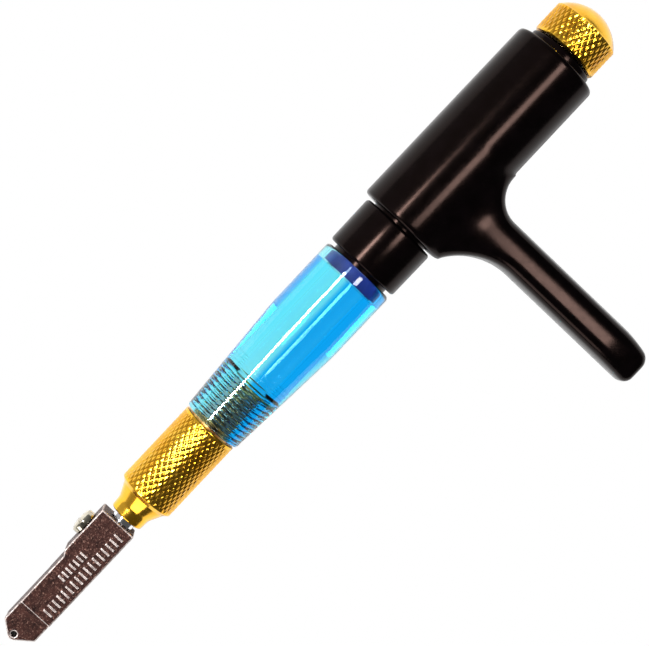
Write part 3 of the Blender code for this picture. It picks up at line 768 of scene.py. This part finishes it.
collar_low, collar_high = span("lock_collar")
COLLAR_R = outer("lock_collar")
collar = turned("lock_collar_moulded", fillet([
    (SLEEVE_R + PLAY, collar_high, 0.2 * MM),
    (COLLAR_R, collar_high, 0.6 * MM),
    (COLLAR_R - 0.06 * MM, collar_low, 0.6 * MM),
    (SLEEVE_R + PLAY, collar_low, 0.2 * MM),
]), 128)
settle(collar, SATIN_BLACK, "lock_collar", "black_plastic", "lock_collar")

# %% [markdown]
# ## The saddle
#
# The saddle is moulded in one piece: a tube, and an arm that flows out of it. No single profile
# makes such a blend, so it is drawn as a field that joins the two. In the plane of the tool the
# arm is a bar with a small arc above it and a long arc below, both tangent to the tube. Seen along
# the tool, its sides sweep into the tube on a circle that is tangent to both. The sides swell a
# little between their edges, because a flat side would shine all over at once or not at all.

# %% Saddle
saddle_low, saddle_high = span("saddle")
SADDLE_R = outer("saddle")
SADDLE_DRAFT, SADDLE_BORE = 0.1 * MM, SLEEVE_R + PLAY
ARM_REACH = AXIS_Y - BOX["saddle"][0, 1]
ARM_RISE = 6.5 * MM
ARM_LOW, ARM_HIGH = saddle_low + ARM_RISE, saddle_low + 14.2 * MM
ARM_HALF, ARM_SWEEP_RADIUS, ARM_CROWN = 6.0 * MM, 15.6 * MM, 14.0 * MM
ARM_BELLY, ARM_RIDGE, ARM_SUNK = 17.0 * MM, ARM_LOW + 2.9 * MM, 0.55 * MM
UPPER_ARC, LOWER_START = 5.85 * MM, 19.9 * MM
LOWER_RUN = LOWER_START - SADDLE_R
LOWER_ARC = (LOWER_RUN ** 2 + ARM_RISE ** 2) / (2 * ARM_RISE)
UPPER_START = SADDLE_R - SADDLE_DRAFT + UPPER_ARC
END_CORNER, END_DROP_FROM, END_DROP = 1.6 * MM, ARM_REACH - 7.0 * MM, 24 * MM
TAIL_FROM, TAIL = ARM_REACH - 9.0 * MM, 30 * MM
SADDLE_EDGE, ARM_EDGE, BORE_EDGE, BLEND = 0.9 * MM, 1.7 * MM, 0.4 * MM, 0.8 * MM
sweep_s = math.sqrt((SADDLE_R + ARM_SWEEP_RADIUS) ** 2 - (ARM_HALF + ARM_SWEEP_RADIUS) ** 2)
touch_s = sweep_s * SADDLE_R / (SADDLE_R + ARM_SWEEP_RADIUS)


def arm_half_depth(s):
    """Half the arm's depth at a distance s from the axis.

    Up to touch_s it is sunk a little under the tube's circle, up to sweep_s it follows the circle
    that is tangent to tube and arm, and beyond that it is straight.
    """
    sunk = ARM_SUNK * np.clip((touch_s - s) / (3 * MM), 0, 1)
    on_tube = np.sqrt(np.maximum(SADDLE_R ** 2 - s ** 2, 0)) - sunk
    rise = np.sqrt(np.maximum(ARM_SWEEP_RADIUS ** 2 - (s - sweep_s) ** 2, 0))
    on_sweep = ARM_HALF + ARM_SWEEP_RADIUS - rise
    return np.where(s < touch_s, on_tube, np.where(s < sweep_s, on_sweep, ARM_HALF))


def arm_outline(s, u, belly):
    """Distance from the arm's outline in the tool's plane, drawn in by belly, negative inside."""
    down, up = u - belly, u + belly
    below_arc = LOWER_ARC - np.hypot(s - LOWER_START, down - (ARM_LOW - LOWER_ARC))
    above_arc = UPPER_ARC - np.hypot(s - UPPER_START, up - (ARM_HIGH + UPPER_ARC))
    below = np.where(s < LOWER_START, below_arc, ARM_LOW - down)
    above = np.where(s < UPPER_START, above_arc, up - ARM_HIGH)
    near = np.maximum(np.maximum(below, above), np.maximum(saddle_low + 0.3 * MM - u, -s))
    near = np.maximum(near, u - (ARM_HIGH + UPPER_ARC))
    middle, half = (ARM_LOW + ARM_HIGH) / 2, (ARM_HIGH - ARM_LOW) / 2
    drop = np.maximum(s - END_DROP_FROM, 0) ** 2 / (2 * END_DROP)
    out_u = np.maximum(up + drop - middle, middle - down) - half + END_CORNER
    out_s = s - ARM_REACH + END_CORNER
    end = np.hypot(np.maximum(out_u, 0), np.maximum(out_s, 0))
    end = end + np.minimum(np.maximum(out_u, out_s), 0) - END_CORNER
    return np.where(s > 30 * MM, end, near)


def saddle_field(x, y, z):
    """The saddle: tube and arm joined, less the bore."""
    u, s, w = x - TIP_X, AXIS_Y - y, z - AXIS_Z
    middle = (saddle_low + saddle_high) / 2
    half = (saddle_high - saddle_low) / 2
    radius = SADDLE_R - SADDLE_DRAFT * (u - saddle_low) / (2 * half)
    around = np.hypot(s, w)
    tube = soft_larger(around - radius, np.abs(u - middle) - half, SADDLE_EDGE)
    belly = w ** 2 / (2 * ARM_BELLY)
    crown = (u - ARM_RIDGE) ** 2 / (2 * ARM_CROWN) * np.clip((s - touch_s) / (8 * MM), 0, 1)
    tail = np.maximum(s - TAIL_FROM, 0) ** 2 / (2 * TAIL)
    depth = np.abs(w) - arm_half_depth(s) + crown + tail
    arm = soft_larger(arm_outline(s, u, belly), depth, ARM_EDGE)
    whole = soft_smaller(tube, arm, BLEND)
    return soft_larger(whole, SADDLE_BORE - around, BORE_EDGE)


saddle_cell = 0.3 * MM
points, quads = skin(saddle_field, "saddle", saddle_cell)
saddle = new_piece("saddle_moulded", points, quads)
settle(saddle, SATIN_BLACK, "saddle", "black_plastic", "saddle")

# %% [markdown]
# ## The cutting head
#
# The head is a slim block. Its front is stepped back near the tip, two cheeks hold the wheel
# between them, and the top takes the stem. Where the real one carries raised marks, this one has
# two rows of plain raised bars. It is a field too, because pressed metal is a little round on
# every edge, in the holes as well, and a field gives each rounding for the price of one number.

# %% Cutting head
head_high = span("head_body")[1]
FRONT = (BOX["head_body"][1, 2] - BOX["head_body"][0, 2]) / 2
HEAD_RIGHT = AXIS_Y - BOX["head_body"][0, 1]
PAD_LEFT = AXIS_Y - BOX["head_body"][1, 1]
PAD_THICKNESS, PAD_AT, PAD_SLOPE = 0.6 * MM, 18.3 * MM, 0.9 * MM
HEAD_LEFT = PAD_LEFT + PAD_THICKNESS
FRONT_STEP, BACK_STEP, STEP_RUN = 6.7 * MM, 14.2 * MM, 0.8 * MM
AXLE_AT, SCREW_AT = sum(span("wheel_axle")) / 2, sum(span("head_screw")) / 2
TRAIL = AXIS_Y - BOX["wheel_axle"][:, 1].mean()
CHEEK, TIP_R, TIP_ANGLE = 2.4 * MM, 1.15 * MM, math.radians(38)
SLOT_HALF, SLOT_TOP = 0.45 * MM, 2.8 * MM
AXLE_HOLE, SCREW_HOLE, STEM_HOLE, STEM_FLOOR = 0.55 * MM, 1.0 * MM, 2.05 * MM, 17.7 * MM
FACE_EDGE, SIDE_EDGE, TOP_EDGE, HOLE_EDGE = 0.24 * MM, 0.2 * MM, 0.3 * MM, 0.08 * MM
BAR_RISE, BAR_HALF, BAR_EDGE, BAR_FOOT = 0.15 * MM, 0.21 * MM, 0.12 * MM, 0.08 * MM
WAVE = 0.012 * MM
BIG_ROW = (1.35 * MM, 1.0 * MM, np.arange(8.3, 26.8, 1.15) * MM)
SMALL_ROW = (-1.1 * MM, 0.8 * MM, np.arange(14.6, 21.2, 0.95) * MM)


def step_back(out, along, height):
    """A face that lies CHEEK out below a height and FRONT out above it, joined by a slope."""
    run, rise = STEP_RUN, FRONT - CHEEK
    slope = ((along - (height - run)) * -rise + (out - CHEEK) * run) / math.hypot(run, rise)
    return np.maximum(out - FRONT, np.minimum(out - CHEEK, slope))


def head_field(x, y, z):
    """The head: a block with a pad and raised bars, less the slot, the holes and the socket.

    A product of three sines, about a hundredth of a millimetre high, roughens its faces.
    """
    u, s, w = x - TIP_X, AXIS_Y - y, z - AXIS_Z
    rise, trail = u - AXLE_AT, s - TRAIL
    cheeks = np.abs(trail) * math.sin(TIP_ANGLE) - rise * math.cos(TIP_ANGLE) - TIP_R
    round_tip = np.hypot(trail, rise) - TIP_R
    in_round = -rise > np.hypot(trail, rise) * math.cos(TIP_ANGLE)
    outline = np.where(in_round, round_tip, cheeks)
    pad = PAD_THICKNESS * np.clip((u - PAD_AT) / PAD_SLOPE + 0.5, 0, 1)
    outline = soft_larger(outline, s - HEAD_RIGHT, SIDE_EDGE)
    outline = soft_larger(outline, HEAD_LEFT - pad - s, SIDE_EDGE)
    outline = soft_larger(outline, u - head_high, TOP_EDGE)
    front = step_back(w + BAR_RISE, u, FRONT_STEP)
    back = step_back(-w, u, BACK_STEP)
    block = soft_larger(soft_larger(outline, front, FACE_EDGE), back, FACE_EDGE)
    waves = np.sin(u * 2900 + s * 1700) * np.sin(s * 3100 - w * 2300) * np.sin(w * 2700 + u * 1300)
    block = block + WAVE * waves
    for place, half, heights in (BIG_ROW, SMALL_ROW):
        nearest = heights[np.argmin(np.abs(u[:, None] - heights[None]), axis=1)]
        bar = np.maximum(np.abs(u - nearest) - BAR_HALF, np.abs(s - place) - half)
        bar = soft_larger(bar, np.abs(w - FRONT + BAR_RISE) - BAR_RISE, BAR_EDGE)
        block = soft_smaller(block, bar, BAR_FOOT)
    from_axle = np.hypot(trail, rise)
    slot = np.maximum(np.abs(w) - SLOT_HALF, u - SLOT_TOP)
    mouth = from_axle - 0.5 * MM - np.maximum(np.abs(w) - (CHEEK - 0.3 * MM), 0)
    socket = np.maximum(np.hypot(s, w) - STEM_HOLE, STEM_FLOOR - u)
    screw_hole = np.maximum(np.hypot(u - SCREW_AT, w) - SCREW_HOLE, s)
    holes = np.minimum.reduce([slot, from_axle - AXLE_HOLE, mouth, socket, screw_hole])
    return soft_larger(block, -holes, HOLE_EDGE)


def in_slices(field, size=400000):
    """The same field, worked out a part at a time to keep the arrays small."""
    def sliced(*places):
        starts = range(0, len(places[0]), size)
        return np.concatenate([field(*(v[k:k + size] for v in places)) for k in starts])
    return sliced


head_cell = 0.125 * MM
points, quads = skin(in_slices(head_field), "head_body", head_cell)
wear = roundness(in_slices(head_field), points, 0.16 * MM)
head = new_piece("head_sintered", points, quads, {"wear": wear})
settle(head, SINTERED, "head", "cast", "head_body")

# %% [markdown]
# The wheel, its axle and the screw are tiny, but they are what the tool is for. The wheel's edge
# is ground from both sides. The screw's head is a low dome with a slot sawn across it.

# %% Wheel, axle and screw
ACROSS = (TIP_X + AXLE_AT, AXIS_Y - TRAIL, AXIS_Z)
WHEEL_R = (span("cutting_wheel")[1] - span("cutting_wheel")[0]) / 2
WHEEL_HALF, WHEEL_BORE = 0.35 * MM, 0.55 * MM
WHEEL_FACE_R = WHEEL_R - WHEEL_HALF * math.tan(math.radians(20))
wheel = turned("cutting_wheel_ground", fillet([
    (WHEEL_BORE, WHEEL_HALF, 0),
    (WHEEL_FACE_R, WHEEL_HALF, 0.03 * MM),
    (WHEEL_R, 0, 0),
    (WHEEL_FACE_R, -WHEEL_HALF, 0.03 * MM),
    (WHEEL_BORE, -WHEEL_HALF, 0),
], arc=2), 72, along="up", centre=ACROSS, sharp=25)
settle(wheel, CARBIDE, "wheel", "carbide", "cutting_wheel")

AXLE_HALF, AXLE_R = (BOX["wheel_axle"][1, 2] - BOX["wheel_axle"][0, 2]) / 2, 0.45 * MM
axle = turned("wheel_axle_pin", fillet([
    (0, AXLE_HALF - 0.6 * MM, 0),
    (0.1 * MM, AXLE_HALF - 0.5 * MM, 0),
    (AXLE_R, AXLE_HALF - 0.45 * MM, 0.08 * MM),
    (AXLE_R, -AXLE_HALF + 0.45 * MM, 0.08 * MM),
    (0.1 * MM, -AXLE_HALF + 0.5 * MM, 0),
    (0, -AXLE_HALF + 0.6 * MM, 0),
], arc=3), 48, along="up", centre=ACROSS)
settle(axle, OILED_STEEL, "head", "steel", "wheel_axle")

SCREW_TOP = BOX["head_screw"][1, 1] - AXIS_Y
SCREW_SEAT = BOX["head_body"][1, 1] - AXIS_Y + 0.12 * MM
SCREW_HEAD_R, SHANK_R, SHANK_END = outer("head_screw"), 0.9 * MM, 1.1 * MM
crown = np.radians(np.arange(0, 66, 5))
crown_r = SCREW_HEAD_R / math.sin(crown[-1])
crown_points = np.stack([
    crown_r * np.sin(crown) * 0.96, SCREW_TOP - crown_r * 0.34 * (1 - np.cos(crown))], axis=1)
screw_profile = np.concatenate([crown_points, [
    (SCREW_HEAD_R, crown_points[-1, 1] - 0.15 * MM),
    (SCREW_HEAD_R, SCREW_SEAT + 0.1 * MM),
    (SCREW_HEAD_R - 0.1 * MM, SCREW_SEAT),
    (SHANK_R, SCREW_SEAT),
    (SHANK_R, SHANK_END),
    (0, SHANK_END),
]])
screw = turned(
    "head_screw_plated", screw_profile, 96, along="side",
    centre=(TIP_X + SCREW_AT, AXIS_Y, AXIS_Z))
SAW_WIDTH, SAW_TWICE_DEPTH, SAW_LENGTH = 0.6 * MM, 1.4 * MM, 8 * MM
sawn = bmesh.new()
bmesh.ops.create_cube(sawn, size=1)
bmesh.ops.scale(sawn, vec=(SAW_WIDTH, SAW_TWICE_DEPTH, SAW_LENGTH), verts=sawn.verts)
bmesh.ops.translate(sawn, vec=(TIP_X + SCREW_AT, AXIS_Y + SCREW_TOP, AXIS_Z), verts=sawn.verts)
saw_mesh = bpy.data.meshes.new("screw_slot_saw")
sawn.to_mesh(saw_mesh)
sawn.free()
saw = in_scene("screw_slot_saw", saw_mesh)
sawing = screw.modifiers.new("slot", "BOOLEAN")
sawing.object = saw
sawing.solver = "EXACT"
bpy.context.view_layer.update()
seen_screw = screw.evaluated_get(bpy.context.evaluated_depsgraph_get())
cut_mesh = bpy.data.meshes.new_from_object(seen_screw)
screw.modifiers.clear()
screw.data = cut_mesh
bpy.data.objects.remove(saw, do_unlink=True)
settle(screw, NICKEL, "head_screw", "nickel", "head_screw")

# %% [markdown]
# The stem shows for less than two millimetres, as a bright ring between the head and the ferrule.
# Its whole length is made, because it slides.

# %% Stem
stem_low, stem_high = span("stem")
neck_high = head_high + 0.3 * MM
OIL_HOLE_R, TAIL_R, FLANGE_AT, FLANGE_TOP, STEM_FLANGE_R, JOURNAL_R = (
    0.9 * MM, 1.9 * MM, 37.2 * MM, 38.2 * MM, 3.1 * MM, 1.75 * MM)
stem = turned("stem_plated", fillet([
    (OIL_HOLE_R, stem_high, 0),
    (TAIL_R, stem_high, 0.2 * MM),
    (TAIL_R, FLANGE_TOP, 0),
    (STEM_FLANGE_R, FLANGE_TOP, 0),
    (STEM_FLANGE_R, FLANGE_AT, 0),
    (STEM_R, FLANGE_AT, 0),
    (STEM_R, neck_high, 0),
    (JOURNAL_R, neck_high, 0),
    (JOURNAL_R, stem_low, 0.2 * MM),
    (OIL_HOLE_R, stem_low, 0),
], arc=3), 96)
settle(stem, CHROME, "stem", "chrome", "stem")

# %% [markdown]
# The return spring has to shorten when the stem is pushed in, so it is a piece of its own. Its
# wire is a tube along a helix: at turn t the middle of the wire stands at R (cos 2 pi t, sin 2 pi
# t), and it climbs evenly.

# %% Return spring
SPRING_BOX = BOX["return_spring"]
WIRE_R, COIL_TURNS, COIL_STEPS, WIRE_SIDES = 0.25 * MM, 6, 28, 10
COIL_R = outer("return_spring") - WIRE_R


def coil(low, high):
    """The wire's skin: c(t) + a (cos f e + sin f b), with e away from the axis and b across it."""
    share = np.linspace(0, 1, COIL_TURNS * COIL_STEPS + 1)
    turn = 2 * np.pi * COIL_TURNS * share
    away = np.stack([np.zeros_like(turn), np.cos(turn), np.sin(turn)], axis=1)
    middle = away * COIL_R + np.array([0, AXIS_Y, AXIS_Z])
    middle[:, 0] += low + WIRE_R + (high - low - 2 * WIRE_R) * share
    binormal = np.cross(np.gradient(middle, axis=0), away)
    binormal /= np.linalg.norm(binormal, axis=1, keepdims=True)
    f = 2 * np.pi * np.arange(WIRE_SIDES) / WIRE_SIDES
    ring = np.cos(f)[None, :, None] * away[:, None] + np.sin(f)[None, :, None] * binormal[:, None]
    points = (middle[:, None] + WIRE_R * ring).reshape(-1, 3)
    i, j = np.meshgrid(np.arange(len(share) - 1), np.arange(WIRE_SIDES), indexing="ij")
    here, beside = i * WIRE_SIDES + j, i * WIRE_SIDES + (j + 1) % WIRE_SIDES
    quads = np.stack([here, beside, beside + WIRE_SIDES, here + WIRE_SIDES], axis=-1).reshape(-1, 4)
    j = np.arange(WIRE_SIDES)
    last = len(points) - WIRE_SIDES
    starts = np.stack([(j + 1) % WIRE_SIDES, j, j * 0 + len(points)], axis=1)
    ends = np.stack([last + j, last + (j + 1) % WIRE_SIDES, j * 0 + len(points) + 1], axis=1)
    points = np.concatenate([points, middle[[0, -1]]])
    return points, quads_and_fans(points, quads, np.concatenate([starts, ends]))


points, faces = coil(SPRING_BOX[0, 0], SPRING_BOX[1, 0])
spring = new_piece("return_spring_coiled", points, faces, sharp=60)
settle(spring, STEEL, "barrel", "steel", "return_spring")
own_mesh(spring)

# %% [markdown]
# The other pieces inside the ferrule and under the cap keep their CAD solids, and only get their
# finish.

# %% Finishes for the hidden pieces
for node, finish in {
    "valve_seat": BRASS_PLAIN, "valve_poppet": STEEL,
    "poppet_seal": RUBBER, "stem_seal": RUBBER, "cap_gasket": RUBBER,
}.items():
    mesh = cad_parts[node].data
    mesh.materials.clear()
    mesh.materials.append(finish)
print("hidden pieces finished")

# %% [markdown]
# ## Floor, light and camera
#
# The tool lies on a pale floor. The floor is pure white to the eye and plain grey to reflections,
# so that the black plastic stays black. Seen through the clear barrel it shows a painted band of
# blue light, from deep on the arm's side of the axis to pale on the other, standing in for light
# that the barrel gathers.

# %% Floor
PAINTED_BAND_HALF = 4 * MM


def pale_floor():
    """A pale floor: white to the eye, a painted band of blue light seen through the barrel, plain
    otherwise.
    """
    bpy.ops.mesh.primitive_plane_add(size=8, location=(0, 0, 0))
    floor = bpy.context.object
    floor.name = "pale_floor"
    made = Finish("pale_floor")
    made.set(Base_Color=(0.86, 0.86, 0.86, 1), Roughness=0.9)
    across = made.add("ShaderNodeSeparateXYZ", {"Vector": made.place}).outputs["Y"]
    side = made.spread(across, 0, 1, AXIS_Y - PAINTED_BAND_HALF, AXIS_Y + PAINTED_BAND_HALF)
    # Painted blue light: a band on the floor, seen only by rays that came through the barrel.
    painted_blue_band = made.ramp(side, [
        (0.0, (0.0, 0.44, 0.92)), (0.34, (0.01, 0.52, 0.98)), (0.52, (0.55, 0.95, 1.0))])
    path = made.add("ShaderNodeLightPath")
    shade = made.shader.outputs["BSDF"]
    for ray, sources in (("Is Transmission Ray", {"Color": painted_blue_band}), ("Is Camera Ray", None)):
        glow = made.add("ShaderNodeEmission", sources).outputs["Emission"]
        mix = made.add("ShaderNodeMixShader", {"Fac": path.outputs[ray], 1: shade, 2: glow})
        shade = mix.outputs["Shader"]
    made.end(shade)
    floor.data.materials.append(made.material)


pale_floor()
print("floor is laid")

# %% [markdown]
# The light comes from soft boxes and pale walls. A long strip over the tool draws the bright line
# along its round parts, a squarer one lights the arm, and a low one comes from the tip's end. The
# walls are dim on the arm's side and brighter on the other.

# %% Light
WALL_FROM, WALL_TO, WALL_DIM, WALL_BRIGHT = -0.05, 0.95, 0.09, 0.50
world = bpy.data.worlds.new("studio")
bpy.context.scene.world = world
world.use_nodes = True
sky = Nodes(world.node_tree)
background = sky.tree.nodes["Background"]
direction = sky.add("ShaderNodeTexCoord").outputs["Generated"]
across = sky.add("ShaderNodeSeparateXYZ", {"Vector": direction}).outputs["Y"]
wall = sky.add(
    "ShaderNodeMapRange", {"Value": across}, interpolation_type="SMOOTHSTEP",
    From_Min=WALL_FROM, From_Max=WALL_TO, To_Min=WALL_DIM, To_Max=WALL_BRIGHT).outputs["Result"]
to_eye = sky.add("ShaderNodeLightPath").outputs["Is Camera Ray"]
seen = sky.add("ShaderNodeMix", {"Factor": to_eye, "A": wall}, B=1.0)
sky.tree.links.new(seen.outputs["Result"], background.inputs["Strength"])
set_sockets(background, Color=(1, 1, 1, 1))


def stand(thing, at, right, up, back):
    """Puts an object at a place, with its own x, y and z along three directions."""
    turn = Matrix((right, up, back)).transposed().to_4x4()
    thing.matrix_world = Matrix.Translation(Vector(at)) @ turn


def softbox(name, at, aim, size, power):
    """A rectangular light at a place, turned towards another, its long side along the tool."""
    light = bpy.data.lights.new(name, "AREA")
    light.shape = "RECTANGLE"
    light.size, light.size_y = size
    light.energy = power
    back = (Vector(at) - Vector(aim)).normalized()
    short_side = back.cross(Vector((1, 0, 0))).normalized()
    stand(in_scene(name, light), at, short_side.cross(back).normalized(), short_side, back)


def over_tool(height_along, across, up):
    """A place by its height along the tool, its way towards the arm and its height above it."""
    return (TIP_X + height_along, AXIS_Y - across, AXIS_Z + up)


softbox("key_strip", over_tool(0.000, -0.26, 0.50), over_tool(0.06, 0, 0), (0.27, 0.06), 3.4)
softbox("arm_strip", over_tool(0.205, 0.15, 0.55), over_tool(0.11, 0.03, 0), (0.15, 0.12), 1.15)
softbox("low_end", over_tool(-0.35, 0.02, 0.18), over_tool(0.08, 0, 0), (0.20, 0.30), 0.7)

# %% [markdown]
# The camera looks down on the tool, a little from the side away from the arm. The tool's axis
# climbs to the right at 46.7 degrees across the picture.

# %% Camera
VIEW_DISTANCE, VIEW_WIDTH, SENSOR = 0.320, 0.1151526, 36.0
VIEW_AT = over_tool(0.0793, 0.00206, 0)
TOWARDS_CAP, AWAY_FROM_ARM = math.radians(2.0), math.radians(6.0)
AXIS_SLOPE = math.radians(46.69)
camera_data = bpy.data.cameras.new("camera")
camera_data.sensor_width = SENSOR
camera_data.lens = SENSOR * VIEW_DISTANCE / VIEW_WIDTH
camera_data.clip_start = 0.01
camera = in_scene("camera", camera_data)
sight = Vector((math.tan(TOWARDS_CAP), math.tan(AWAY_FROM_ARM), 1)).normalized()
along = (Vector((1, 0, 0)) - sight * sight.x).normalized()
aside = sight.cross(along)
right = along * math.cos(AXIS_SLOPE) - aside * math.sin(AXIS_SLOPE)
upward = along * math.sin(AXIS_SLOPE) + aside * math.cos(AXIS_SLOPE)
stand(camera, Vector(VIEW_AT) + sight * VIEW_DISTANCE, right, upward, sight)
bpy.context.scene.camera = camera
bpy.context.scene.view_settings.view_transform = "Standard"
print("lens in mm:", round(camera_data.lens, 1))
